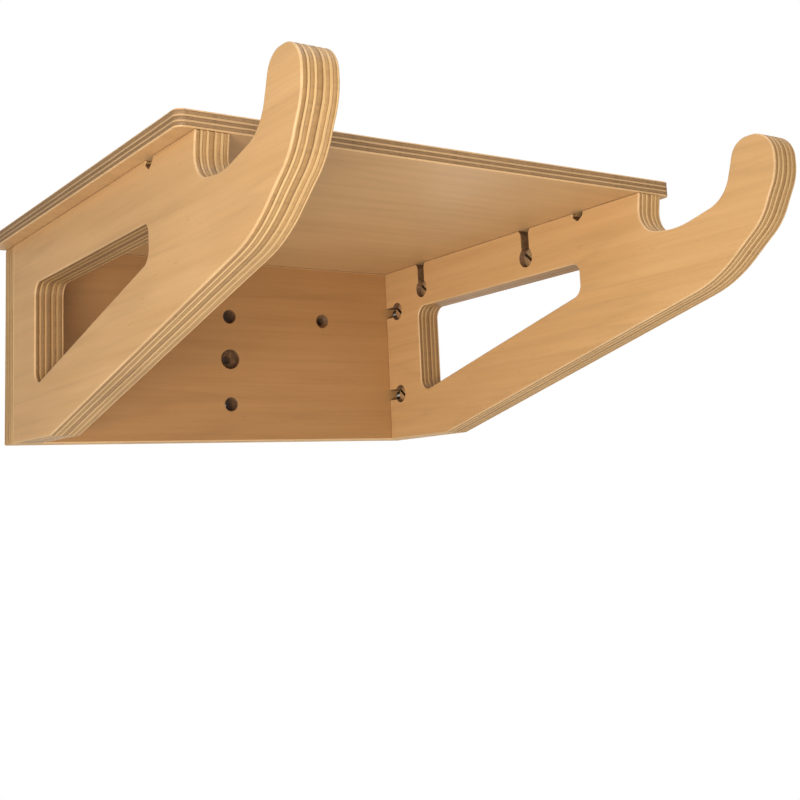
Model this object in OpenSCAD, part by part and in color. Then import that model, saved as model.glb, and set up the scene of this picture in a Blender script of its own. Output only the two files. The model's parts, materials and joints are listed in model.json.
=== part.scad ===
// Bicycle wall rack: two hooked side plates, a back panel against the wall
// and a shelf on top, bolted together through barrel nuts.
// The wall is the plane y = 0, the rack reaches forward to -y, z is up.
// The origin is the middle wall hole, on the wall plane.

/* [Overall] */
// Width over the outer faces of the two side plates
rack_w = 300; // [250:1:380]
// Distance from the wall to the front of the hooks
reach = 391; // [320:1:480]
// Height of the side plates and of the back panel
plate_h = 126; // [105:1:156]

/* [Boards] */
// Thickness of the side plates
plate_t = 18; // [15:0.5:24]
// Thickness of the back panel
back_t = 18; // [15:0.5:24]
// Thickness of the shelf
shelf_t = 9; // [7.5:0.5:15]
// How far the shelf stands out past each side plate
shelf_over = 9; // [0:0.5:20]
// Radius of the front corners of the shelf
shelf_r = 5; // [0:0.5:12]

/* [Tube cradle] */
// Length of the opening between the shelf and the hook
cradle_l = 73; // [60:1:90]
// Depth of the cradle below the top of the side plates
cradle_d = 28; // [20:0.5:34]
// Width of the hook tip, front to back
hook_l = 26; // [20:0.5:32]
// How far the hook tip rises above the side plate
hook_rise = 11.5; // [4:0.5:20]
// Height of the wood left below the cradle
arm_h = 34.3; // [26:0.1:42]

/* [Side plate window] */
// Material left behind the window
win_rear = 42; // [34:1:60]
// Material left above the window
win_top = 32; // [30:1:40]
// Height left below the rear lower corner of the window
win_low = 31; // [24:0.5:38]
// Distance from the front end of the shelf back to the window
win_front = 56; // [40:1:80]
// Corner radius of the window
win_r = 8; // [4:0.5:12]
// Length of the flat bottom edge, measured from the wall
foot_l = 88; // [60:1:120]
// Width of the small strap notch under the shelf
notch_w = 10; // [4:0.5:16]
// Depth of the small strap notch under the shelf
notch_h = 5.2; // [3:0.1:7]
// Distance from the front end of the shelf back to the strap notch
notch_back = 54; // [30:1:80]

/* [Wall holes] */
// Height of the middle wall hole above the bottom edge
wall_mid = 57; // [45:1:62]
// Distance from the middle hole up to the upper row
wall_up = 30; // [24:1:40]
// Distance from the middle hole down to the lower hole
wall_down = 31.5; // [24:0.5:36]
// Distance from the centre line to each side hole
wall_side = 75; // [50:1:95]
// Diameter of the upper and lower plain holes
plain_d = 8.8; // [5:0.1:10]
// Diameter of the middle hole
mid_d = 6; // [4:0.1:9]
// Diameter of the counterbore on the middle hole
mid_head_d = 13; // [10:0.5:18]
// Depth of the counterbore on the middle hole
mid_head_t = 6; // [2:0.5:10]
// Diameter of the two side holes
side_d = 5.5; // [4:0.1:7]
// Diameter of the countersink on the two side holes
side_head_d = 10; // [8:0.5:12]

/* [Fittings] */
// Diameter of the bolt shank
bolt_d = 6; // [5:0.1:7.2]
// Length of the shelf bolts
shelf_bolt_l = 33; // [31:0.5:34]
// Length of the back panel bolts
back_bolt_l = 38; // [36:0.5:38.5]
// Diameter of the bolt head
head_d = 12; // [10:0.5:12.5]
// Size across flats of the driver socket in the head
socket_af = 4; // [3:0.5:5]
// Diameter of the barrel nut
nut_d = 12; // [10:0.1:14.4]
// Length of the barrel nut
nut_l = 12; // [9:0.5:14]
// Distance from the top of the side plate down to the nuts of the shelf
nut_down = 19; // [17:0.5:20]
// Distance from the rear edge of the side plate to the nuts of the back panel
nut_in = 14.5; // [13:0.5:16]
// Distance from the wall to the rear bolt of the shelf
shelf_bolt_rear = 66; // [50:1:90]
// Distance between the two shelf bolts on each side
shelf_bolt_gap = 120; // [70:1:130]
// Height of the lower back panel bolt above the bottom edge
back_bolt_low = 33; // [20:1:40]
// Distance between the two back panel bolts on each side
back_bolt_gap = 62; // [45:1:64]

/* [Clearances] */
// Clearance around each barrel nut, on the diameter
nut_gap = 0.3; // [0.1:0.1:0.6]
// Clearance around each bolt shank in wood, on the diameter
bolt_gap = 0.6; // [0.3:0.1:1]
// Clearance around each bolt head, on the diameter
head_gap = 0.2; // [0.1:0.1:0.5]

/* [View] */
// Sub-part to draw

/* [Hidden] */
eps = 0.5;
arc_step = 5;
round_fn = 48;
half_w = rack_w / 2;
inner_x = half_w - plate_t;
mid_x = half_w - plate_t / 2;
cradle_front = reach - hook_l;
shelf_d = cradle_front - cradle_l;
base_z = -wall_mid;
top_z = base_z + plate_h;
shelf_z = top_z + shelf_t;
hook_top = plate_h + hook_rise;
cradle_v = plate_h - cradle_d;
pocket_t = nut_l + (plate_t - nut_l) / 2 + 0.2;
slot_t = plate_t / 2 + (bolt_d + bolt_gap) / 2 + 0.2;
slot_w = bolt_d + bolt_gap + 0.4;
wire_d = bolt_d - 0.1;
arm_v = cradle_v - arm_h;
arm_slope = arm_v / (reach - 46 - foot_l);
tip_front_r = min(14, 0.55 * hook_l);
tip_back_r = min(12, 0.47 * hook_l);
sides = [-1, 1];
shelf_bolt_u = [shelf_bolt_rear, shelf_bolt_rear + shelf_bolt_gap];
back_bolt_v = [back_bolt_low, back_bolt_low + back_bolt_gap];

birch = [0.84, 0.68, 0.47];
birch_edge = [0.74, 0.6, 0.43];
zinc = [0.72, 0.73, 0.75];

// Outline of a side plate as u (forward from the wall), v (up), corner radius
outline = [
    [back_t, 0, 0],
    [foot_l, 0, 4],
    [reach - 46, arm_v, 80],
    [reach - 12, arm_v + 26.6, 36],
    [reach, hook_top - 24, 30],
    [reach, hook_top, tip_front_r],
    [cradle_front, hook_top, tip_back_r],
    [cradle_front - 9.5, cradle_v + 9.2, 21],
    [cradle_front - 47, cradle_v, 55],
    [shelf_d - 3.5, cradle_v + 4.5, 14],
    [shelf_d, plate_h, 0],
    [back_t, plate_h, 0]
];

// Outline of the window in a side plate
win_u0 = back_t + win_rear;
win_u1 = shelf_d - win_front;
win_v1 = plate_h - win_top;
window = [
    [win_u0, win_low, win_r],
    [win_u1, win_low + arm_slope * (win_u1 - win_u0), win_r],
    [win_u1, win_v1, win_r * 0.75],
    [win_u0, win_v1, win_r]
];

// Outline of the shelf seen from above
shelf_edge = half_w + shelf_over;
shelf_outline = [
    [-shelf_edge, 0, 0],
    [-shelf_edge, -shelf_d, shelf_r],
    [shelf_edge, -shelf_d, shelf_r],
    [shelf_edge, 0, 0]
];

function xy(p) = [p[0], p[1]];
function unit(a) = a / norm(a);
function turn(a) = a > 180 ? a - 360 : (a < -180 ? a + 360 : a);
function sweep_of(m, p, q) = turn(atan2(q[1] - m[1], q[0] - m[0]) - atan2(p[1] - m[1], p[0] - m[0]));
function arc(m, p, r, s, n) = [
    for (i = [0:n])
        let (a = atan2(p[1] - m[1], p[0] - m[0]) + s * i / n)
        [m[0] + r * cos(a), m[1] + r * sin(a)]
];
function corner(a, b, c, r) =
    let (d1 = unit(a - b))
    let (d2 = unit(c - b))
    let (half = acos(d1 * d2) / 2)
    let (p = b + d1 * r / tan(half))
    let (q = b + d2 * r / tan(half))
    let (m = b + unit(d1 + d2) * r / sin(half))
    let (s = sweep_of(m, p, q))
    arc(m, p, r, s, max(2, ceil(abs(s) / arc_step)));
function rounded(pts) = [
    for (i = [0:len(pts) - 1])
        let (n = len(pts))
        let (a = pts[(i + n - 1) % n])
        let (b = pts[i])
        let (c = pts[(i + 1) % n])
        each (b[2] > 0 ? corner(xy(a), xy(b), xy(c), b[2]) : [xy(b)])
];

// Stands a (u, v) drawing up as a board t thick, its low x face at x0
module board(x0, t) {
    translate([x0 + t, 0, base_z])
        rotate([90, 0, -90])
            linear_extrude(t)
                children();
}

// Bore along x, from the inner face of a side plate into the wood
module inner_bore(side, u, v, d, depth) {
    translate([side * (inner_x - eps), -u, base_z + v])
        rotate([0, side * 90, 0])
            cylinder(h = depth + eps, d = d, $fn = round_fn);
}

// Straight channel from a nut pocket out to the edge of the side plate
module inner_slot(side, u0, u1, v0, v1) {
    x0 = side > 0 ? inner_x - eps : -inner_x - slot_t;
    translate([x0, -u1, base_z + v0])
        cube([slot_t + eps, u1 - u0, v1 - v0]);
}

module side_plate(side) {
    x0 = side > 0 ? inner_x : -half_w;
    pocket_d = nut_d + nut_gap;
    notch_u = shelf_d - notch_back;
    difference() {
        board(x0, plate_t)
            polygon(rounded(outline));
        board(x0 - eps, plate_t + 2 * eps)
            polygon(rounded(window));
        board(x0 - eps, plate_t + 2 * eps)
            polygon(rounded([
                [notch_u - notch_w / 2, plate_h + 3, 0],
                [notch_u - notch_w * 0.42, plate_h - notch_h * 0.42, notch_w * 0.12],
                [notch_u, plate_h - notch_h, notch_w * 0.1],
                [notch_u + notch_w * 0.42, plate_h - notch_h * 0.42, notch_w * 0.12],
                [notch_u + notch_w / 2, plate_h + 3, 0]
            ]));
        for (u = shelf_bolt_u) {
            inner_bore(side, u, plate_h - nut_down, pocket_d, pocket_t);
            inner_slot(side, u - slot_w / 2, u + slot_w / 2, plate_h - nut_down, plate_h + eps);
        }
        for (v = back_bolt_v) {
            inner_bore(side, back_t + nut_in, v, pocket_d, pocket_t);
            inner_slot(side, back_t - eps, back_t + nut_in, v - slot_w / 2, v + slot_w / 2);
        }
    }
}

module side_plate_left() {
    color(birch)
        side_plate(-1);
}

module side_plate_right() {
    color(birch)
        side_plate(1);
}

// Hole along y through the back panel, d0 at the wall side, d1 at the front
module through_y(x, z, y0, y1, d0, d1) {
    translate([x, y0, z])
        rotate([90, 0, 0])
            cylinder(h = y0 - y1, d1 = d0, d2 = d1, $fn = round_fn);
}

module wall_holes() {
    for (z = [-wall_down, wall_up])
        through_y(0, z, eps, -back_t - eps, plain_d, plain_d);
    through_y(0, 0, eps, -back_t - eps, mid_d, mid_d);
    through_y(0, 0, mid_head_t - back_t, -back_t - eps, mid_head_d, mid_head_d);
    sink = (side_head_d - side_d) / 2;
    for (side = sides) {
        through_y(side * wall_side, wall_up, eps, -back_t - eps, side_d, side_d);
        through_y(side * wall_side, wall_up, sink - back_t, -back_t - eps, side_d, side_head_d + 2 * eps);
    }
}

module back_bolt_holes() {
    hole = bolt_d + bolt_gap;
    mouth = head_d + head_gap;
    sink = (mouth - hole) / 2;
    for (side = sides)
        for (v = back_bolt_v) {
            through_y(side * mid_x, base_z + v, eps, -back_t - eps, hole, hole);
            through_y(side * mid_x, base_z + v, eps, -sink, mouth + 2 * eps, hole);
        }
}

module back_panel() {
    color(birch)
        difference() {
            translate([-half_w, -back_t, base_z])
                cube([rack_w, back_t, plate_h]);
            wall_holes();
            back_bolt_holes();
        }
}

module shelf_bolt_holes() {
    hole = bolt_d + bolt_gap;
    mouth = head_d + head_gap;
    sink = (mouth - hole) / 2;
    for (side = sides)
        for (u = shelf_bolt_u)
            translate([side * mid_x, -u, top_z]) {
                translate([0, 0, -eps])
                    cylinder(h = shelf_t + 2 * eps, d = hole, $fn = round_fn);
                translate([0, 0, shelf_t - sink])
                    cylinder(h = sink + eps, d1 = hole, d2 = mouth + 2 * eps, $fn = round_fn);
            }
}

module shelf() {
    color(birch_edge)
        difference() {
            translate([0, 0, top_z])
                linear_extrude(shelf_t)
                    polygon(rounded(shelf_outline));
            shelf_bolt_holes();
        }
}

// Countersunk bolt along -z, the top of its head at z = 0
module bolt(l) {
    cone = (head_d - wire_d) / 2;
    difference() {
        union() {
            translate([0, 0, -cone])
                cylinder(h = cone, d1 = wire_d, d2 = head_d, $fn = round_fn);
            translate([0, 0, -l])
                cylinder(h = l - cone, d = wire_d, $fn = round_fn);
        }
        translate([0, 0, -socket_af * 0.6])
            cylinder(h = socket_af, d = socket_af / cos(30), $fn = 6);
    }
}

module shelf_bolt(side, u) {
    color(zinc)
        translate([side * mid_x, -u, shelf_z])
            bolt(shelf_bolt_l);
}

module back_bolt(side, v) {
    color(zinc)
        translate([side * mid_x, 0, base_z + v])
            rotate([-90, 0, 0])
                bolt(back_bolt_l);
}

// Barrel nut along x, centred, with a driver slot in its open end
module nut(side, along_y) {
    slot_x = side > 0 ? -nut_l / 2 - eps : nut_l / 2 - 1.2;
    difference() {
        translate([-nut_l / 2, 0, 0])
            rotate([0, 90, 0])
                cylinder(h = nut_l, d = nut_d, $fn = round_fn);
        rotate([along_y ? 90 : 0, 0, 0])
            translate([0, 0, -nut_d])
                cylinder(h = 2 * nut_d, d = bolt_d, $fn = round_fn);
        translate([slot_x, -nut_d, -0.7])
            cube([1.2 + eps, 2 * nut_d, 1.4]);
    }
}

module shelf_nut(side, u) {
    color(zinc)
        translate([side * mid_x, -u, top_z - nut_down])
            nut(side, false);
}

module back_nut(side, v) {
    color(zinc)
        translate([side * mid_x, -back_t - nut_in, base_z + v])
            nut(side, true);
}

module shelf_bolt_left_rear() { shelf_bolt(-1, shelf_bolt_u[0]); }
module shelf_bolt_left_front() { shelf_bolt(-1, shelf_bolt_u[1]); }
module shelf_bolt_right_rear() { shelf_bolt(1, shelf_bolt_u[0]); }
module shelf_bolt_right_front() { shelf_bolt(1, shelf_bolt_u[1]); }
module back_bolt_left_low() { back_bolt(-1, back_bolt_v[0]); }
module back_bolt_left_high() { back_bolt(-1, back_bolt_v[1]); }
module back_bolt_right_low() { back_bolt(1, back_bolt_v[0]); }
module back_bolt_right_high() { back_bolt(1, back_bolt_v[1]); }
module shelf_nut_left_rear() { shelf_nut(-1, shelf_bolt_u[0]); }
module shelf_nut_left_front() { shelf_nut(-1, shelf_bolt_u[1]); }
module shelf_nut_right_rear() { shelf_nut(1, shelf_bolt_u[0]); }
module shelf_nut_right_front() { shelf_nut(1, shelf_bolt_u[1]); }
module back_nut_left_low() { back_nut(-1, back_bolt_v[0]); }
module back_nut_left_high() { back_nut(-1, back_bolt_v[1]); }
module back_nut_right_low() { back_nut(1, back_bolt_v[0]); }
module back_nut_right_high() { back_nut(1, back_bolt_v[1]); }

back_panel();
shelf();
side_plate_left();
side_plate_right();
shelf_bolt_left_rear();
shelf_bolt_left_front();
shelf_bolt_right_rear();
shelf_bolt_right_front();
back_bolt_left_low();
back_bolt_left_high();
back_bolt_right_low();
back_bolt_right_high();
shelf_nut_left_rear();
shelf_nut_left_front();
shelf_nut_right_rear();
shelf_nut_right_front();
back_nut_left_low();
back_nut_left_high();
back_nut_right_low();
back_nut_right_high();
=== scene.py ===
"""Plywood bicycle wall rack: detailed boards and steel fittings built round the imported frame."""
import json
import math

import bmesh
import bpy
from mathutils import Matrix, Vector, noise
from mathutils.geometry import delaunay_2d_cdt


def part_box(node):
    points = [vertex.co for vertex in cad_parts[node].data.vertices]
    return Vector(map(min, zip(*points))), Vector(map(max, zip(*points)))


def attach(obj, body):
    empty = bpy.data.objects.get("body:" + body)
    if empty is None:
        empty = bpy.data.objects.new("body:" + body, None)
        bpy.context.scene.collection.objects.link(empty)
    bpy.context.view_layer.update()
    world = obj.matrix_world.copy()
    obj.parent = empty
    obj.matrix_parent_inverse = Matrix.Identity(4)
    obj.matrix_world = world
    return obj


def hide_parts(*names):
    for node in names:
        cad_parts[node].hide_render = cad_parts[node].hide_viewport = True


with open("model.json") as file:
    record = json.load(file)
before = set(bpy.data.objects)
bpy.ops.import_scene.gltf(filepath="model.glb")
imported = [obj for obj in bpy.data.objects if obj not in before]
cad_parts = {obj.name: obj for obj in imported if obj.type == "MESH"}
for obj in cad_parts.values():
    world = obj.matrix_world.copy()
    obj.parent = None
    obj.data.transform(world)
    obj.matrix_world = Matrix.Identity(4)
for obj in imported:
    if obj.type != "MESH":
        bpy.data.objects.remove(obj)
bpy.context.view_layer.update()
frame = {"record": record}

MM = 0.001
X, Y, Z = range(3)
SIDES = {"left": -1, "right": 1}

# ---------------------------------------------------------------- camera, fitted to the photo's outlines
YAW, PITCH, ROLL = math.radians(35.13), math.radians(9.26), math.radians(-2.75)
EYE = Vector((-0.3807, -0.7926, -0.1050))
FOCAL_PX = 1230.4
CENTRE_PX = (420.4, 301.9)
PICTURE_PX, SENSOR_MM = 800.0, 36.0

fwd = Vector((math.sin(YAW) * math.cos(PITCH), math.cos(YAW) * math.cos(PITCH), math.sin(PITCH)))
right = Vector((math.cos(YAW), -math.sin(YAW), 0.0))
up = right.cross(fwd)
cam_x = right * math.cos(ROLL) + up * math.sin(ROLL)
cam_y = up * math.cos(ROLL) - right * math.sin(ROLL)
camera = bpy.data.objects.new("camera", bpy.data.cameras.new("camera"))
bpy.context.collection.objects.link(camera)
camera.matrix_world = Matrix.Translation(EYE) @ Matrix((cam_x, cam_y, -fwd)).transposed().to_4x4()
camera.data.sensor_width = SENSOR_MM
camera.data.lens = FOCAL_PX * SENSOR_MM / PICTURE_PX
camera.data.shift_x = 0.5 - CENTRE_PX[0] / PICTURE_PX
camera.data.shift_y = CENTRE_PX[1] / PICTURE_PX - 0.5
camera.data.clip_start = 0.01
bpy.context.scene.camera = camera


# ---------------------------------------------------------------- materials
class Nodes:
    """A material with a Principled surface, and short ways to add nodes to it."""

    def __init__(self, name):
        self.mat = bpy.data.materials.new(name)
        self.mat.use_nodes = True
        self.tree = self.mat.node_tree
        self.tree.nodes.clear()
        self.out = self.tree.nodes.new("ShaderNodeOutputMaterial")
        self.bsdf = self.tree.nodes.new("ShaderNodeBsdfPrincipled")
        self.link(self.bsdf.outputs[0], self.out.inputs[0])
        self.coord = self.tree.nodes.new("ShaderNodeTexCoord").outputs["Object"]

    def link(self, a, b):
        self.tree.links.new(a, b)

    def put(self, socket, value):
        if hasattr(value, "is_linked"):
            self.link(value, socket)
        else:
            socket.default_value = value

    def math(self, op, a, b=0.0, c=0.0, clamp=False):
        n = self.tree.nodes.new("ShaderNodeMath")
        n.operation = op
        n.use_clamp = clamp
        for socket, value in zip(n.inputs, (a, b, c)):
            self.put(socket, value)
        return n.outputs[0]

    def axis(self, index):
        n = self.tree.nodes.new("ShaderNodeSeparateXYZ")
        self.put(n.inputs[0], self.coord)
        return n.outputs[index]

    def noise(self, scale, offset, detail, rough, distortion=0.0):
        """Noise in object space. The scale is one number in 1/m, or three for the axes."""
        at = self.tree.nodes.new("ShaderNodeMapping")
        self.link(self.coord, at.inputs["Vector"])
        at.inputs["Scale"].default_value = scale if hasattr(scale, "__len__") else (scale, scale, scale)
        at.inputs["Location"].default_value = offset
        n = self.tree.nodes.new("ShaderNodeTexNoise")
        self.link(at.outputs[0], n.inputs["Vector"])
        n.inputs["Scale"].default_value = 1.0
        n.inputs["Detail"].default_value = detail
        n.inputs["Roughness"].default_value = rough
        n.inputs["Distortion"].default_value = distortion
        return n.outputs[0]

    def level(self, value):
        """A random value that stays the same for each whole number."""
        n = self.tree.nodes.new("ShaderNodeTexWhiteNoise")
        n.noise_dimensions = "1D"
        self.put(n.inputs["W"], value)
        return n.outputs["Value"]

    def ramp(self, value, stops):
        n = self.tree.nodes.new("ShaderNodeValToRGB")
        while len(n.color_ramp.elements) < len(stops):
            n.color_ramp.elements.new(0.5)
        for element, (at, colour) in zip(n.color_ramp.elements, stops):
            element.position = at
            element.color = (*colour, 1.0) if hasattr(colour, "__len__") else (colour, colour, colour, 1.0)
        self.put(n.inputs[0], value)
        return n.outputs[0]

    def mix(self, factor, a, b, blend="MIX"):
        n = self.tree.nodes.new("ShaderNodeMix")
        n.data_type = "RGBA"
        n.blend_type = blend
        self.put(n.inputs[0], factor)
        self.put(n.inputs[6], a if hasattr(a, "is_linked") else (*a, 1.0))
        self.put(n.inputs[7], b if hasattr(b, "is_linked") else (*b, 1.0))
        return n.outputs[2]

    def bump(self, height, strength, distance):
        n = self.tree.nodes.new("ShaderNodeBump")
        n.inputs["Strength"].default_value = strength
        n.inputs["Distance"].default_value = distance
        self.put(n.inputs["Height"], height)
        return n.outputs[0]


STILL = (0.0, 0.0, 0.0)


def stretched(axis, along, across):
    """A noise scale with one value along the axis and another across it."""
    scale = [across, across, across]
    scale[axis] = along
    return scale


def face_material(name, grain, light, dark, offset):
    """Rotary-cut birch veneer: broad figure, long fibres, short pores, satin varnish."""
    m = Nodes(name)
    warp = m.noise(stretched(grain, 2.5, 9.0), offset, 2.0, 0.55)
    figure = m.noise(stretched(grain, 1.6, 26.0), offset, 3.0, 0.5, 0.3)
    rings = m.math("FRACT", m.math("MULTIPLY", m.math("ADD", figure, m.math("MULTIPLY", warp, 0.35)), 7.0))
    rings = m.math("ABSOLUTE", m.math("SUBTRACT", rings, 0.5))
    fibre = m.noise(stretched(grain, 14.0, 700.0), offset, 3.0, 0.6)
    streak = m.noise(stretched(grain, 5.0, 110.0), offset, 4.0, 0.6)
    pore = m.noise(stretched(grain, 130.0, 1500.0), offset, 2.0, 0.5)
    cloud = m.noise(stretched(grain, 5.0, 9.0), offset, 3.0, 0.5, 0.4)
    tone = m.ramp(streak, [(0.30, dark), (0.68, light)])
    ring_shade = m.ramp(rings, [(0.0, 0.86), (0.16, 0.97), (0.5, 1.0)])
    tone = m.mix(0.55, tone, ring_shade, "MULTIPLY")
    tone = m.mix(0.35, tone, m.ramp(fibre, [(0.25, 0.80), (0.6, 1.0)]), "MULTIPLY")
    tone = m.mix(1.0, tone, m.ramp(pore, [(0.22, (0.80, 0.72, 0.64)), (0.31, (1.0, 1.0, 1.0))]), "MULTIPLY")
    shading = m.ramp(cloud, [(0.25, (0.90, 0.86, 0.82)), (0.5, (0.98, 0.97, 0.96)), (0.8, (1.0, 1.0, 1.0))])
    tone = m.mix(1.0, tone, shading, "MULTIPLY")
    m.link(tone, m.bsdf.inputs["Base Color"])
    gloss = m.math("MULTIPLY_ADD", fibre, 0.16, 0.40)
    m.link(m.math("MULTIPLY_ADD", cloud, 0.10, gloss), m.bsdf.inputs["Roughness"])
    m.bsdf.inputs["IOR"].default_value = 1.45
    m.bsdf.inputs["Coat Weight"].default_value = 0.18
    m.bsdf.inputs["Coat Roughness"].default_value = 0.32
    relief = m.math("ADD", m.math("MULTIPLY", fibre, 0.7), m.math("MULTIPLY", pore, 0.5))
    m.link(m.bump(relief, 0.35, 0.00012), m.bsdf.inputs["Normal"])
    return m.mat


def edge_material(name, axis, span, layers, light, dark, line, offset):
    """The cut edge of plywood: plies along and across the grain, uneven glue lines, open end grain."""
    m = Nodes(name)
    low, high = span
    wave = m.noise(15.0, offset, 4.0, 0.6)
    small = m.noise(210.0, offset, 2.0, 0.6)
    depth = m.math("DIVIDE", m.math("SUBTRACT", m.axis(axis), low), high - low)
    depth = m.math("ADD", depth, m.math("MULTIPLY", m.math("SUBTRACT", wave, 0.5), 0.055))
    depth = m.math("ADD", depth, m.math("MULTIPLY", m.math("SUBTRACT", small, 0.5), 0.014))
    stops = [(at, j / (len(layers) - 1)) for j, at in enumerate(layers)]
    ply = m.math("MULTIPLY", m.ramp(depth, stops), float(len(layers) - 1))
    cross = m.math("GREATER_THAN", m.math("MODULO", m.math("FLOOR", ply), 2.0), 0.5)
    end_grain = m.noise(stretched(axis, 60.0, 420.0), offset, 3.0, 0.65)
    long_grain = m.noise(stretched(axis, 1500.0, 14.0), offset, 3.0, 0.6)
    blotch = m.noise(8.0, offset, 3.0, 0.55)
    with_grain = m.mix(1.0, light, m.ramp(long_grain, [(0.28, 0.80), (0.62, 1.0)]), "MULTIPLY")
    over_grain = m.mix(1.0, dark, m.ramp(end_grain, [(0.28, 0.78), (0.46, 0.97), (0.7, 1.08)]), "MULTIPLY")
    tone = m.mix(cross, with_grain, over_grain)
    nearest = m.math("FLOOR", m.math("ADD", ply, 0.5))
    glue_level = m.level(m.math("ADD", nearest, 3.7 + offset[0]))
    ply_level = m.level(m.math("ADD", m.math("FLOOR", ply), 11.3 + offset[1]))
    tint = m.ramp(ply_level, [(0.0, (0.88, 0.85, 0.80)), (1.0, (1.12, 1.14, 1.16))])
    tone = m.mix(1.0, tone, tint, "MULTIPLY")
    gap = m.math("ABSOLUTE", m.math("SUBTRACT", ply, nearest))
    width = m.math("MULTIPLY_ADD", glue_level, 0.20, 0.06)
    glue = m.math("SUBTRACT", 1.0, m.math("DIVIDE", gap, width), clamp=True)
    glue = m.math("POWER", glue, 0.65)
    drift = m.noise(stretched(axis, 420.0, 14.0), offset, 3.0, 0.55)
    broken = m.ramp(drift, [(0.34, 0.30), (0.58, 1.0)])
    force = m.math("MULTIPLY_ADD", glue_level, 0.60, 0.12)
    tone = m.mix(m.math("MULTIPLY", m.math("MULTIPLY", glue, broken), force), tone, line)
    tone = m.mix(1.0, tone, m.ramp(blotch, [(0.28, (0.84, 0.82, 0.80)), (0.6, (1.0, 1.0, 1.0))]), "MULTIPLY")
    m.link(tone, m.bsdf.inputs["Base Color"])
    m.link(m.math("MULTIPLY_ADD", end_grain, 0.2, 0.48), m.bsdf.inputs["Roughness"])
    m.bsdf.inputs["IOR"].default_value = 1.45
    m.bsdf.inputs["Coat Weight"].default_value = 0.1
    m.bsdf.inputs["Coat Roughness"].default_value = 0.4
    relief = m.math("SUBTRACT", m.math("MULTIPLY", m.math("MULTIPLY", end_grain, cross), 0.8), glue)
    m.link(m.bump(relief, 0.5, 0.00016), m.bsdf.inputs["Normal"])
    return m.mat


def shaded_bore_material(name):
    """Drilled and routed wood, painted near black as shade in the bores, slots, pockets and notch: torn end
    grain in darker patches.
    """
    m = Nodes(name)
    torn = m.noise(700.0, STILL, 4.0, 0.7)
    patch = m.noise(120.0, STILL, 3.0, 0.6)
    tone = m.ramp(torn, [(0.3, (0.06, 0.026, 0.009)), (0.62, (0.21, 0.10, 0.036))])
    tone = m.mix(1.0, tone, m.ramp(patch, [(0.3, 0.55), (0.65, 1.0)]), "MULTIPLY")
    m.link(tone, m.bsdf.inputs["Base Color"])
    m.link(m.math("MULTIPLY_ADD", torn, 0.2, 0.6), m.bsdf.inputs["Roughness"])
    m.link(m.bump(torn, 0.6, 0.0002), m.bsdf.inputs["Normal"])
    return m.mat


def steel_material(name, tint, shade, rough, spin):
    """Zinc-plated steel: passivated tint, crystalline spangle, fine turning lines, rubbed spots."""
    m = Nodes(name)
    spangle = m.noise(900.0, STILL, 3.0, 0.7)
    cloud = m.noise(170.0, STILL, 3.0, 0.6)
    turned = m.noise(stretched(spin, 300.0, 3500.0), STILL, 2.0, 0.6)
    tone = m.ramp(cloud, [(0.3, shade), (0.65, tint)])
    tone = m.mix(0.5, tone, m.ramp(spangle, [(0.3, 0.72), (0.62, 1.0)]), "MULTIPLY")
    m.link(tone, m.bsdf.inputs["Base Color"])
    m.bsdf.inputs["Metallic"].default_value = 1.0
    m.link(m.math("MULTIPLY_ADD", spangle, 0.22, rough), m.bsdf.inputs["Roughness"])
    relief = m.math("ADD", turned, m.math("MULTIPLY", spangle, 0.5))
    m.link(m.bump(relief, 0.35, 0.00004), m.bsdf.inputs["Normal"])
    return m.mat


# ---------------------------------------------------------------- outlines
ARC_STEP = 3.0  # degrees
LONGEST_RUN, SHARP_R, BOW = 7.0, 1.1, 0.06  # mm


def rounded(points):
    """Rounds each corner (u, v, radius) in mm, and splits long straight runs and bows them slightly."""
    loop = []
    count = len(points)
    for i, (x, y, radius) in enumerate(points):
        b = Vector((x, y))
        d1 = (Vector(points[i - 1][:2]) - b).normalized()
        d2 = (Vector(points[(i + 1) % count][:2]) - b).normalized()
        radius = radius or SHARP_R
        half = math.acos(max(-1.0, min(1.0, d1.dot(d2)))) / 2
        p = b + d1 * radius / math.tan(half)
        q = b + d2 * radius / math.tan(half)
        m = b + (d1 + d2).normalized() * radius / math.sin(half)
        a1 = math.atan2(p.y - m.y, p.x - m.x)
        sweep = math.atan2(q.y - m.y, q.x - m.x) - a1
        sweep = (sweep + math.pi) % (2 * math.pi) - math.pi
        n = max(3, math.ceil(abs(math.degrees(sweep)) / ARC_STEP))
        angles = [a1 + sweep * k / n for k in range(n + 1)]
        loop += [m + radius * Vector((math.cos(a), math.sin(a))) for a in angles]
    out = []
    sign = 1.0 if area(loop) > 0 else -1.0
    for i, p in enumerate(loop):
        q = loop[(i + 1) % len(loop)]
        out.append(p)
        run = q - p
        parts = int(run.length // LONGEST_RUN) + 1
        bow = Vector((-run.y, run.x)).normalized() * sign * BOW if parts > 1 else Vector((0, 0))
        out += [p.lerp(q, k / parts) + bow * math.sin(math.pi * k / parts) for k in range(1, parts)]
    return out


def area(loop):
    """The signed area of a loop, positive where it runs anticlockwise."""
    return sum(a.x * b.y - b.x * a.y for a, b in zip(loop, loop[1:] + loop[:1])) / 2


def inward(loop, solid_inside):
    """For each point, the step that moves it 1 mm into the wood."""
    sign = 1.0 if (area(loop) > 0) == solid_inside else -1.0
    steps = []
    for i, p in enumerate(loop):
        e1 = (p - loop[i - 1]).normalized()
        e2 = (loop[(i + 1) % len(loop)] - p).normalized()
        n1, n2 = Vector((-e1.y, e1.x)) * sign, Vector((-e2.y, e2.x)) * sign
        n = n1 + n2
        n = n.normalized() if n.length > 1e-6 else n1
        steps.append(n / max(0.5, n.dot(n1)))
    return steps


def inside(point, loop):
    """Whether the loop goes round the point."""
    hit = False
    for a, b in zip(loop, loop[1:] + loop[:1]):
        if (a.y > point.y) != (b.y > point.y) and point.x < (b.x - a.x) * (point.y - a.y) / (b.y - a.y) + a.x:
            hit = not hit
    return hit


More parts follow.
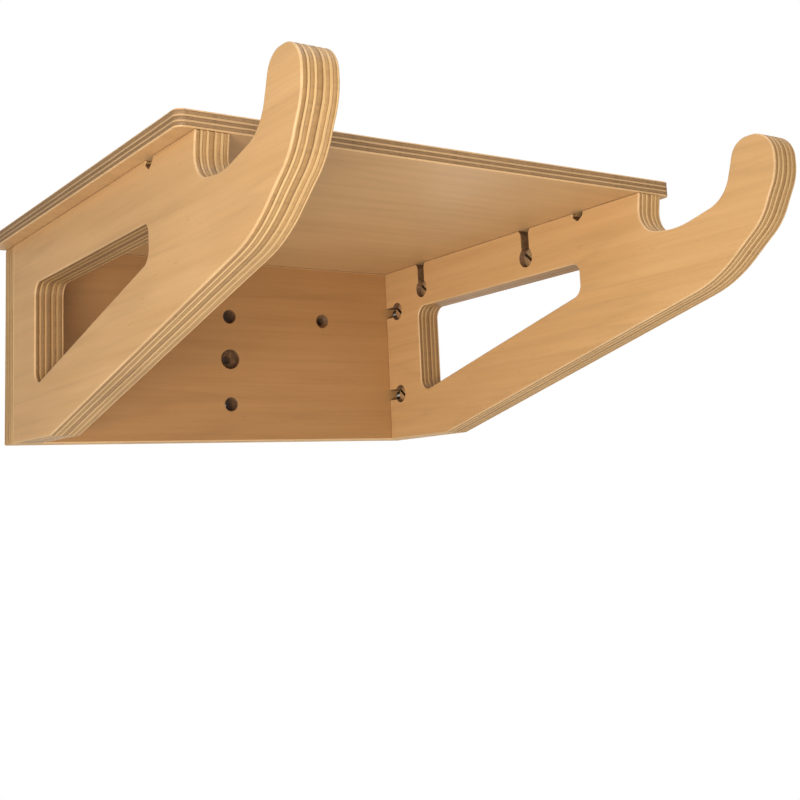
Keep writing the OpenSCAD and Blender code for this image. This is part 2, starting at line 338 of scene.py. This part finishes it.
def fill(loops):
    """Triangles over the first loop without the others, as indices into the loops laid end to end."""
    points, edges = [], []
    for loop in loops:
        start = len(points)
        points += loop
        edges += [(start + k, start + (k + 1) % len(loop)) for k in range(len(loop))]
    verts, _, tris, origin, _, _ = delaunay_2d_cdt(points, edges, [], 0, 1e-7)
    back = [o[0] if o else None for o in origin]
    out = []
    for tri in tris:
        middle = sum((verts[i] for i in tri), Vector((0, 0))) / 3
        if inside(middle, loops[0]) and not any(inside(middle, hole) for hole in loops[1:]):
            out.append(tuple(back[i] for i in tri))
    return out


# The edge inside an opening and the bored wood are painted darker, as shade.
FACE, EDGE, EASE, INNER_SHADED, BORED_SHADED = range(5)  # a board's materials
EASE_STEPS = [math.radians(a) for a in (90, 67.5, 45, 22.5)]
PLY_STEP, GLUE_DEPTH = 0.07, 0.15
SWAY, SWAY_FREE = 0.14, 0.4


def ply_rows(thick, layers, ease):
    """Rows down the edge of a board as (depth, inset, kind) in mm: eased edge, plies, glue lines."""
    eased = [(ease - ease * math.sin(a), ease - ease * math.cos(a), EASE) for a in EASE_STEPS]
    rows = eased + [(ease, 0.0, EDGE)]
    for j, layer in enumerate(layers[1:-1], 1):
        at = thick * layer
        before, after = (PLY_STEP, 0.0) if j % 2 == 0 else (0.0, PLY_STEP)
        for shift, inset in ((-0.2, before), (-0.06, GLUE_DEPTH), (0.06, GLUE_DEPTH), (0.2, after)):
            if ease < at + shift < thick - ease:
                rows.append((at + shift, inset, EDGE))
    rows.append((thick - ease, 0.0, EASE))
    return rows + [(thick - depth, inset, kind) for depth, inset, kind in reversed(eased)]


def outward(mesh):
    """Turns all face normals of a closed mesh outwards."""
    bm = bmesh.new()
    bm.from_mesh(mesh)
    bmesh.ops.recalc_face_normals(bm, faces=bm.faces)
    bm.to_mesh(mesh)
    bm.free()


def new_object(name, mesh, materials):
    obj = bpy.data.objects.new(name, mesh)
    bpy.context.collection.objects.link(obj)
    for m in materials:
        mesh.materials.append(m)
    return obj


def board(name, loops, thick, layers, place, materials, ease=0.8):
    """A plywood board: loops in mm (the first is the outline), place(a, b, depth) gives metres.

    The materials are face, edge, eased edge (lighter, partly sanded wood and partly a painted highlight), the
    edge inside an opening (painted darker, as shade), and bored wood (painted near black, as shade)."""
    rows = ply_rows(thick, layers, ease)
    verts, faces, kinds = [], [], []
    caps = ([], [])
    for index, loop in enumerate(loops):
        steps = inward(loop, index == 0)
        start = len(verts)
        count = len(loop)
        for depth, inset, _ in rows:
            for p, step in zip(loop, steps):
                sway = 0.0
                if ease + SWAY_FREE < depth < thick - ease - SWAY_FREE:
                    sway = SWAY * noise.noise(Vector((p.x * 0.03, p.y * 0.03, depth * 0.11 + index)))
                q = p + step * inset
                verts.append(place(q.x, q.y, depth + sway))
        for r in range(len(rows) - 1):
            for k in range(count):
                a, b = start + r * count + k, start + r * count + (k + 1) % count
                faces.append((a, b, b + count, a + count))
                kinds.append(INNER_SHADED if index and rows[r][2] == EDGE else rows[r][2])
        caps[0].append((start, loop, [rows[0][1] * s for s in steps]))
        caps[1].append((start + (len(rows) - 1) * count, loop, [rows[-1][1] * s for s in steps]))
    for cap in caps:
        for tri in fill([[p + s for p, s in zip(loop, steps)] for _, loop, steps in cap]):
            index = [start + k for start, loop, _ in cap for k in range(len(loop))]
            faces.append(tuple(index[i] for i in tri))
            kinds.append(FACE)
    mesh = bpy.data.meshes.new(name)
    mesh.from_pydata(verts, [], faces)
    obj = new_object(name, mesh, materials)
    for polygon, kind in zip(mesh.polygons, kinds):
        polygon.material_index = kind
    outward(mesh)
    for polygon, kind in zip(mesh.polygons, kinds):
        polygon.use_smooth = kind != FACE
    return obj


def smooth_solid(name, verts, rows, count, materials):
    """A closed solid over rows of count points each, with its two ends capped."""
    faces = []
    for r in range(rows - 1):
        for k in range(count):
            a, b = r * count + k, r * count + (k + 1) % count
            faces.append((a, b, b + count, a + count))
    faces.append(tuple(range(count))[::-1])
    faces.append(tuple((rows - 1) * count + k for k in range(count)))
    mesh = bpy.data.meshes.new(name)
    mesh.from_pydata(verts, [], faces)
    outward(mesh)
    mesh.polygons.foreach_set("use_smooth", [True] * len(mesh.polygons))
    return new_object(name, mesh, materials)


def frame_of(axis):
    """A matrix whose Z column is the axis."""
    z = Vector(axis).normalized()
    x = z.orthogonal().normalized()
    return Matrix((x, z.cross(x), z)).transposed()


def lathe(name, profile, origin, axis, materials, segments=64, radius_at=None):
    """A closed turned solid. profile is (height, radius) in mm along the axis, from origin in metres."""
    turn = frame_of(axis)
    verts = []
    for height, radius in profile:
        for k in range(segments):
            angle = 2 * math.pi * k / segments
            r = radius_at(height, angle, radius) if radius_at else radius
            spot = Vector((r * math.cos(angle), r * math.sin(angle), height))
            verts.append(Vector(origin) + turn @ spot * MM)
    return smooth_solid(name, verts, len(profile), segments, materials)


def prism(name, loop, low, high, place, materials, flare, flare_t):
    """A closed prism over a loop in mm, which opens by flare over its last flare_t mm."""
    steps = inward(loop, False)
    rows = [(low, 0.0), (high - flare_t, 0.0), (high, flare)]
    verts = [place(*(p + s * w), t) for t, w in rows for p, s in zip(loop, steps)]
    return smooth_solid(name, verts, len(rows), len(loop), materials)


def joined(objects):
    """One object made of several that don't touch."""
    bm = bmesh.new()
    for o in objects:
        bm.from_mesh(o.data)
    materials = list(objects[0].data.materials)
    for o in objects:
        bpy.data.objects.remove(o)
    mesh = bpy.data.meshes.new("joined")
    bm.to_mesh(mesh)
    bm.free()
    return new_object("joined", mesh, materials)


def cut(obj, cutters):
    """Takes the cutters out of the object and removes them."""
    tool = joined(cutters) if len(cutters) > 1 else cutters[0]
    modifier = obj.modifiers.new("cut", "BOOLEAN")
    modifier.operation = "DIFFERENCE"
    modifier.solver = "EXACT"
    modifier.object = tool
    modifier.material_mode = "TRANSFER"
    graph = bpy.context.evaluated_depsgraph_get()
    mesh = bpy.data.meshes.new_from_object(obj.evaluated_get(graph))
    obj.modifiers.clear()
    old = obj.data
    obj.data = mesh
    bpy.data.meshes.remove(old)
    bpy.data.objects.remove(tool)


def finish_piece(obj, node, angle=32.0):
    """Shades the piece and tells the frame what it rides on and the node it replaces."""
    obj.data.set_sharp_from_angle(angle=math.radians(angle))
    if len(obj.data.materials) > 1:
        for polygon in obj.data.polygons:
            if polygon.material_index == FACE:
                polygon.use_smooth = False
    obj.name = node + "_piece"
    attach(obj, "root")
    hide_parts(node)


# ---------------------------------------------------------------- sizes from the frame
def box_mm(node):
    """The low and high corners of a node's box in mm."""
    lo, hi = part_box(node)
    return Vector(lo) / MM, Vector(hi) / MM


back_lo, back_hi = box_mm("back_panel")
shelf_lo, shelf_hi = box_mm("shelf")
plate_lo, plate_hi = box_mm("side_plate_right")
BASE = back_lo.z
PLATE_H = back_hi.z - back_lo.z
BACK_T = back_hi.y - back_lo.y
PLATE_T = plate_hi.x - plate_lo.x
SHELF_T = shelf_hi.z - shelf_lo.z
SHELF_D = -shelf_lo.y
REACH = -plate_lo.y
HOOK_TOP = plate_hi.z - BASE
HALF_W = plate_hi.x
INNER_X = plate_lo.x

# outline of a side plate in mm, u from the wall and v up from its foot
FOOT_L = 88.0
HOOK_L, CRADLE_DROP = 26.0, 28.0
ARM_BACK, ARM_DROP = 46.0, 34.3
TIP_FRONT_R, TIP_BACK_R = 14.0, 12.0
WINDOW_REAR, WINDOW_FRONT, WINDOW_SILL, WINDOW_HEAD = 42.0, 56.0, 31.0, 32.0
NOTCH_BACK, NOTCH_HALF, NOTCH_DEEP = 54.0, 4.4, 6.0
CRADLE_V = PLATE_H - CRADLE_DROP
CRADLE_FRONT = REACH - HOOK_L
ARM_U, ARM_V = REACH - ARM_BACK, CRADLE_V - ARM_DROP
ARM_SLOPE = ARM_V / (ARM_U - FOOT_L)
WIN_U0, WIN_U1 = BACK_T + WINDOW_REAR, SHELF_D - WINDOW_FRONT
WIN_V0, WIN_V1 = WINDOW_SILL, PLATE_H - WINDOW_HEAD
NOTCH_U = SHELF_D - NOTCH_BACK

OUTLINE = [
    (BACK_T, 0, 0), (FOOT_L, 0, 4), (ARM_U, ARM_V, 80), (REACH - 12, ARM_V + 26.6, 36),
    (REACH, HOOK_TOP - 24, 30), (REACH, HOOK_TOP, TIP_FRONT_R), (CRADLE_FRONT, HOOK_TOP, TIP_BACK_R),
    (CRADLE_FRONT - 9.5, CRADLE_V + 9.2, 21), (CRADLE_FRONT - 47, CRADLE_V, 55),
    (SHELF_D - 3.5, CRADLE_V + 4.5, 14), (SHELF_D, PLATE_H, 0),
    (NOTCH_U + 4.6, PLATE_H, 1.1), (NOTCH_U + 4.2, PLATE_H - 2.2, 1.2), (NOTCH_U, PLATE_H - 5.2, 1.0),
    (NOTCH_U - 4.2, PLATE_H - 2.2, 1.2), (NOTCH_U - 4.6, PLATE_H, 1.1), (BACK_T, PLATE_H, 0),
]
WINDOW = [
    (WIN_U0, WIN_V0, 8), (WIN_U1, WIN_V0 + ARM_SLOPE * (WIN_U1 - WIN_U0), 8),
    (WIN_U1, WIN_V1, 6), (WIN_U0, WIN_V1, 8),
]

# bores, pockets and slots in mm
BOLT_BORE_R, HEAD_R, HEAD_DEEP = 3.3, 6.1, 2.8
COUNTERBORE_R, COUNTERBORE_DEEP = 6.5, 6.0
SINK_R = 5.0
POCKET_DEEP, POCKET_GAP = 15.2, 0.15
SLOT_HALF, SLOT_DEEP, SLOT_FLARE, BACK_SLOT_FLARE = 3.5, 12.5, 3.3, 1.3

# ---------------------------------------------------------------- boards
def layers_of(*parts):
    """Where the plies meet, as shares of the board's thickness."""
    total = sum(parts)
    return [sum(parts[:k]) / total for k in range(len(parts) + 1)]


THICK_PLIES = layers_of(0.75, 1.15, 0.85, 1.3, 0.8, 1.75, 0.8, 1.2, 0.95, 1.25, 0.75)
THIN_PLIES = layers_of(0.7, 1.2, 0.8, 1.15, 0.85, 1.3, 0.75)
PLATE_TONES = (0.64, 0.385, 0.17), (0.575, 0.335, 0.138)
# The back panel's face is painted darker than the plates, as shade.
BACK_SHADED_TONES = (0.41, 0.214, 0.077), (0.37, 0.188, 0.065)
# The shelf's face is painted darker than the plates, as shade.
SHELF_SHADED_TONES = (0.545, 0.33, 0.147), (0.50, 0.295, 0.126)
# The eased edges are lighter than the faces: partly sanded wood, partly a painted highlight along the edge.
EASED_SANDED_AND_HIGHLIGHT_TONES = (0.66, 0.43, 0.215), (0.58, 0.36, 0.17)
GLUE = (0.15, 0.075, 0.026)
EDGE_TONES = (0.61, 0.385, 0.17), (0.38, 0.215, 0.08), GLUE
# The shelf's edge is painted darker than the plates' edges, as shade.
SHELF_EDGE_SHADED_TONES = (0.50, 0.31, 0.15), (0.26, 0.15, 0.065), GLUE
# The edge inside the window is painted darker than the outer edges, as shade.
INNER_SHADED_TONES = (0.46, 0.265, 0.10), (0.25, 0.13, 0.045), GLUE
BACK_SHIFT, SHELF_SHIFT = (0.9, 0.4, 0.7), (0.2, 0.85, 0.1)


def wood(label, grain, across, span, layers, face_tones, edge_tones, offset):
    """The face, edge and eased edge of one board. The plies lie across an axis, over a span in metres."""
    return [
        face_material("birch_face_" + label, grain, *face_tones, offset),
        edge_material("birch_edge_" + label, across, span, layers, *edge_tones, offset),
        face_material("birch_eased_" + label, grain, *EASED_SANDED_AND_HIGHLIGHT_TONES, offset),
    ]


def bolt_bore(thick):
    """The cutter's profile for a countersunk bolt through a board, from its far face to the head."""
    return [(-1, BOLT_BORE_R), (thick - HEAD_DEEP, BOLT_BORE_R), (thick, HEAD_R), (thick + 1, HEAD_R + 0.2)]


# The bores, slots and pockets are painted near black, as shade.
bore_shade = shaded_bore_material("birch_bored_shaded")

for side_name, side in SIDES.items():
    shift = (0.37 * side, 0.11, 0.23 * side)
    low_x, high_x = (INNER_X, HALF_W) if side > 0 else (-HALF_W, -INNER_X)
    span = (low_x * MM, high_x * MM)
    woods = wood(side_name, Y, X, span, THICK_PLIES, PLATE_TONES, EDGE_TONES, shift)
    # The window's inside edge gets a material painted darker, as shade.
    woods.append(edge_material("birch_inner_shaded_" + side_name, X, span, THICK_PLIES, *INNER_SHADED_TONES, shift))
    woods.append(bore_shade)

    def place(u, v, depth, x0=low_x):
        return Vector((x0 + depth, -u, BASE + v)) * MM

    plate = board("plate", [rounded(OUTLINE), rounded(WINDOW)], PLATE_T, THICK_PLIES, place, woods)
    # The notch's walls take the bore material, painted near black as shade.
    for polygon in plate.data.polygons:
        u, v = -polygon.center.y / MM, polygon.center.z / MM - BASE
        if abs(u - NOTCH_U) < NOTCH_HALF and v > PLATE_H - NOTCH_DEEP and polygon.material_index != FACE:
            polygon.material_index = BORED_SHADED

    def into(a, b, depth, s=side):
        """Depth is measured from the inner face, positive out of the wood."""
        return Vector((s * (INNER_X - depth), -a, BASE + b)) * MM

    slots, pockets = [], []
    for kind, ends in (("shelf_nut", ("rear", "front")), ("back_nut", ("low", "high"))):
        for end in ends:
            lo, hi = box_mm(f"{kind}_{side_name}_{end}")
            mid = (lo + hi) / 2
            u, v, r, half = -mid.y, mid.z - BASE, (hi.z - lo.z) / 2 + POCKET_GAP, SLOT_HALF
            if kind == "shelf_nut":
                wide, top = half + SLOT_FLARE, PLATE_H + 2
                loop = [(u - half, v), (u + half, v), (u + half, PLATE_H - 3), (u + wide, top),
                        (u - wide, top), (u - half, PLATE_H - 3)]
            else:
                wide, end_u = half + BACK_SLOT_FLARE, BACK_T - 2
                loop = [(u, v - half), (u, v + half), (BACK_T + 1.4, v + half), (end_u, v + wide),
                        (end_u, v - wide), (BACK_T + 1.4, v - half)]
            slots.append(prism("slot", [Vector(p) for p in loop], -SLOT_DEEP, 0.5, into, (bore_shade,), 0.9, 0.9))
            profile = [(-POCKET_DEEP, r), (-0.55, r), (-0.2, r + 0.12), (0.05, r + 0.42), (0.5, r + 1.0)]
            pockets.append(lathe("pocket", profile, into(u, v, 0), (-side, 0, 0), (bore_shade,), 96))
    cut(plate, slots)
    cut(plate, pockets)
    finish_piece(plate, "side_plate_" + side_name)

span = (back_lo.y * MM, back_hi.y * MM)
# The back panel's face tones are painted darker, as shade.
woods = wood("back", X, Y, span, THICK_PLIES, BACK_SHADED_TONES, EDGE_TONES, BACK_SHIFT)
top_z = BASE + PLATE_H
outline = [(back_lo.x, BASE, 0), (back_hi.x, BASE, 0), (back_hi.x, top_z, 0), (back_lo.x, top_z, 0)]
back = board("back", [rounded(outline)], BACK_T, THICK_PLIES,
             lambda a, b, d: Vector((a, -BACK_T + d, b)) * MM, woods)


def back_hole(x, z, profile):
    """A turned cutter through the back panel, heights measured from its front face into the wood."""
    return lathe("hole", profile, (x * MM, -BACK_T * MM, z * MM), (0, 1, 0), (bore_shade,), 72)


bores = []
for mount in frame["record"]["mounts"]:
    x, _, z = (c / MM for c in mount["pos_m"])
    dims = mount["dims"]
    if mount["name"] == "wall_holes_centre":
        r = dims["hole_r_mm"]
        profile = [(-1, r + 0.6), (-0.02, r + 0.6), (0.35, r + 0.12), (0.6, r), (BACK_T + 1, r)]
        for s in (-1, 1):
            bores.append(back_hole(x, z + s * dims["spacing_y_mm"] / 2, profile))
    elif mount["name"] == "wall_holes_side":
        r = dims["hole_r_mm"]
        profile = [(-1, SINK_R + 0.2), (0.05, SINK_R), (2.25, r), (BACK_T + 1, r)]
        for s in (-1, 1):
            bores.append(back_hole(x + s * dims["spacing_x_mm"] / 2, z, profile))
    elif mount["name"] == "wall_hole_mid":
        r = dims["r_mm"]
        wide, deep = COUNTERBORE_R, COUNTERBORE_DEEP
        bores.append(back_hole(x, z, [(-1, wide + 0.5), (-0.02, wide + 0.5), (0.3, wide + 0.1), (0.6, wide),
                                      (deep - 0.3, wide), (deep, wide - 0.3), (deep, r), (BACK_T + 1, r)]))
for side_name in SIDES:
    for end in ("low", "high"):
        lo, hi = box_mm(f"back_bolt_{side_name}_{end}")
        bores.append(back_hole((lo.x + hi.x) / 2, (lo.z + hi.z) / 2, bolt_bore(BACK_T)))
cut(back, bores)
finish_piece(back, "back_panel")

span = (shelf_lo.z * MM, shelf_hi.z * MM)
# The shelf's face and edge tones are painted darker, as shade.
woods = wood("shelf", X, Z, span, THIN_PLIES, SHELF_SHADED_TONES, SHELF_EDGE_SHADED_TONES, SHELF_SHIFT)
outline = [(shelf_lo.x, 0, 0), (shelf_lo.x, -SHELF_D, 5), (shelf_hi.x, -SHELF_D, 5), (shelf_hi.x, 0, 0)]
shelf = board("shelf_board", [rounded(outline)], SHELF_T, THIN_PLIES,
              lambda a, b, d: Vector((a, b, shelf_lo.z + d)) * MM, woods, 0.7)
holes = []
for side_name in SIDES:
    for end in ("rear", "front"):
        lo, hi = box_mm(f"shelf_bolt_{side_name}_{end}")
        foot = ((lo.x + hi.x) / 2 * MM, (lo.y + hi.y) / 2 * MM, shelf_lo.z * MM)
        holes.append(lathe("hole", bolt_bore(SHELF_T), foot, (0, 0, 1), (bore_shade,), 72))
cut(shelf, holes)
finish_piece(shelf, "shelf")

# ---------------------------------------------------------------- fittings
# bolts and nuts in mm
THREAD_R, ROOT_R, PITCH = 2.95, 2.58, 1.0
NECK, POINT = 4.2, 0.7
SOCKET_HALF, SOCKET_DEEP = 2.0, 2.4
TINY = 1e-6
THREAD_BORE_R = 3.0
NUT_EDGE = 0.6
GROOVE_HALF, GROOVE_DEEP, GROOVE_LEAN = 0.9, 2.0, math.radians(40)

bolt_steel = steel_material("zinc_bolt", (0.40, 0.38, 0.34), (0.24, 0.21, 0.17), 0.28, Z)
nut_steel = steel_material("zinc_nut", (0.95, 0.90, 0.76), (0.78, 0.70, 0.52), 0.26, X)
# The groove in the nut's end is painted dark brown, as shade in the slot.
groove_shade_steel = steel_material("zinc_groove_shaded", (0.20, 0.15, 0.09), (0.10, 0.07, 0.04), 0.5, X)


def bolt(node, axis):
    """A countersunk socket bolt. The axis points out of its head."""
    lo, hi = (Vector(c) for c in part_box(node))
    mid = (lo + hi) / 2
    length = (hi - lo).dot(Vector([abs(c) for c in axis])) / MM
    top = mid + Vector(axis) * length / 2 * MM
    start, threaded = -length + POINT, length - POINT - NECK

    def thread(height, angle, radius):
        if height > -NECK - TINY or height < start:
            return radius
        turn = (height / PITCH + angle / (2 * math.pi)) % 1.0
        return ROOT_R + (THREAD_R - ROOT_R) * min(1.0, 1.25 * abs(2 * turn - 1))

    profile = [(-length, 0.9), (-length, 2.3), (start, THREAD_R)]
    rows = int(threaded / PITCH * 6)
    profile += [(start + threaded * k / rows, THREAD_R) for k in range(1, rows + 1)]
    profile += [(-3.15, THREAD_R), (-0.45, 5.55), (-0.22, 5.88), (-0.05, 5.98), (0.0, 5.85)]
    piece = lathe("bolt", profile, top, axis, (bolt_steel,), 48, thread)
    corner = SOCKET_HALF / math.cos(math.pi / 6)
    cut(piece, [lathe("hex", [(-SOCKET_DEEP, corner), (0.5, corner)], top, axis, (bolt_steel,), 6)])
    finish_piece(piece, node, 28.0)


def nut(node, side, across):
    """A barrel nut on the x axis, its slotted end towards the middle of the rack."""
    lo, hi = (Vector(c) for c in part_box(node))
    mid = (lo + hi) / 2
    length, radius = (hi.x - lo.x) / MM, (hi.z - lo.z) / 2 / MM
    end = length / 2
    profile = [(-end, radius - NUT_EDGE), (-end + 0.15, radius - NUT_EDGE / 2), (-end + NUT_EDGE, radius)]
    profile += [(-height, r) for height, r in reversed(profile)]
    piece = lathe("nut", profile, mid, (-side, 0, 0), (nut_steel,), 72)
    profile = [(-radius - 1, THREAD_BORE_R + 0.9), (-radius + 0.9, THREAD_BORE_R),
               (radius - 0.9, THREAD_BORE_R), (radius + 1, THREAD_BORE_R + 0.9)]
    cut(piece, [lathe("threaded", profile, mid, across, (nut_steel,), 48)])

    def place(a, b, t):
        return mid + Vector((-side * t, a, b)) * MM

    long = Vector((math.cos(GROOVE_LEAN), math.sin(GROOVE_LEAN))) * 8
    wide = Vector((-math.sin(GROOVE_LEAN), math.cos(GROOVE_LEAN))) * GROOVE_HALF
    corners = [-long - wide, long - wide, long + wide, -long + wide]
    cut(piece, [prism("groove", corners, end - GROOVE_DEEP, end + 0.2, place, (groove_shade_steel,), 0.25, 0.35)])
    finish_piece(piece, node, 28.0)


for side_name, side in SIDES.items():
    for end in ("rear", "front"):
        bolt(f"shelf_bolt_{side_name}_{end}", (0, 0, 1))
        nut(f"shelf_nut_{side_name}_{end}", side, (0, 0, 1))
    for end in ("low", "high"):
        bolt(f"back_bolt_{side_name}_{end}", (0, 1, 0))
        nut(f"back_nut_{side_name}_{end}", side, (0, 1, 0))

# ---------------------------------------------------------------- floor and light
FLOOR_Z, FLOOR_HALF = -1.2, 2.5
WARM = (1.0, 0.965, 0.91)
floor_mesh = bpy.data.meshes.new("floor")
corners = [(a * FLOOR_HALF, b * FLOOR_HALF, FLOOR_Z) for a, b in ((-1, -1), (1, -1), (1, 1), (-1, 1))]
floor_mesh.from_pydata(corners, [], [(0, 1, 2, 3)])
pale = bpy.data.materials.new("floor")
pale.use_nodes = True
paint = pale.node_tree.nodes["Principled BSDF"]
paint.inputs["Base Color"].default_value = (0.86, 0.86, 0.85, 1.0)
paint.inputs["Roughness"].default_value = 0.7
new_object("floor", floor_mesh, (pale,))

world = bpy.data.worlds.new("world")
world.use_nodes = True
backdrop = world.node_tree.nodes["Background"]
backdrop.inputs[0].default_value = (1.0, 1.0, 1.0, 1.0)
backdrop.inputs[1].default_value = 1.0
ambient = world.node_tree.nodes.new("ShaderNodeBackground")
ambient.inputs[0].default_value = (1.0, 0.975, 0.93, 1.0)
ambient.inputs[1].default_value = 0.37
chooser = world.node_tree.nodes.new("ShaderNodeMixShader")
ray = world.node_tree.nodes.new("ShaderNodeLightPath")
world.node_tree.links.new(ray.outputs["Is Camera Ray"], chooser.inputs[0])
world.node_tree.links.new(ambient.outputs[0], chooser.inputs[1])
world.node_tree.links.new(backdrop.outputs[0], chooser.inputs[2])
world.node_tree.links.new(chooser.outputs[0], world.node_tree.nodes["World Output"].inputs[0])
bpy.context.scene.world = world
bpy.context.scene.view_settings.view_transform = "Standard"


def area_light(name, at, target, size, watts, colour=(1.0, 1.0, 1.0)):
    lamp = bpy.data.lights.new(name, "AREA")
    lamp.size = size
    lamp.energy = watts
    lamp.color = colour
    obj = bpy.data.objects.new(name, lamp)
    bpy.context.collection.objects.link(obj)
    obj.location = at
    obj.rotation_euler = (Vector(target) - Vector(at)).to_track_quat("-Z", "Y").to_euler()


area_light("key_high", (-1.0, -1.05, 0.5), (0.0, -0.2, 0.0), 0.8, 2.6, WARM)
area_light("key_low", (-0.72, -0.98, -0.38), (0.05, -0.2, 0.0), 0.55, 12.5, WARM)
area_light("fill", (0.5, -2.3, -0.2), (0.0, -0.15, 0.0), 1.6, 3.0, (1.0, 0.98, 0.96))
area_light("rear", (0.9, 1.5, 0.1), (0.0, 0.0, 0.0), 1.1, 9.0)
area_light("overhead", (0.2, -0.6, 2.4), (0.0, -0.4, 0.0), 2.6, 60.0)
